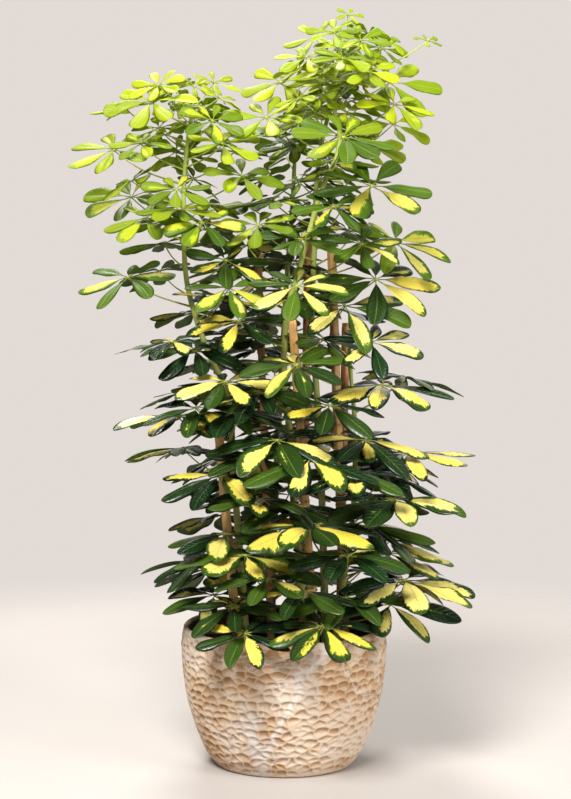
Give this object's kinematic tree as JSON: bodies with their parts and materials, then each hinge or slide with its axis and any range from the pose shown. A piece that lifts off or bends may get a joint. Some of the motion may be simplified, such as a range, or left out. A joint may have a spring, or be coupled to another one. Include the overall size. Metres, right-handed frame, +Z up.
{
  "type": "potted umbrella plant",
  "caption": "Tall variegated dwarf umbrella plant on bamboo canes, with palm-shaped leaves of rounded leaflets, standing in soil in a round hammered earthenware pot.",
  "frame": {"origin": "centre of the pot's flat underside", "axes": "+Z up; the side that the picture shows faces -Y; +X to the right as seen from there"},
  "size_m": [0.6391, 0.5908, 1.1978],
  "materials": {
    "earthenware": "matte",
    "soil": "matte",
    "bamboo": "satin",
    "tie": "matte",
    "foliage": "satin"
  },
  "bodies": {
    "root": {"pot": "earthenware", "soil": "soil", "cane_front_left": "bamboo", "cane_front": "bamboo", "cane_back_left": "bamboo", "cane_right": "bamboo", "cane_back": "bamboo", "cane_back_right": "bamboo", "tie_front_high": "tie", "tie_front_low": "tie", "tie_left": "tie", "tie_right": "tie", "tie_back": "tie", "stem_left": "foliage", "stem_centre": "foliage", "stem_right": "foliage", "stem_back": "foliage", "stem_side": "foliage"}
  },
  "joints": []
}
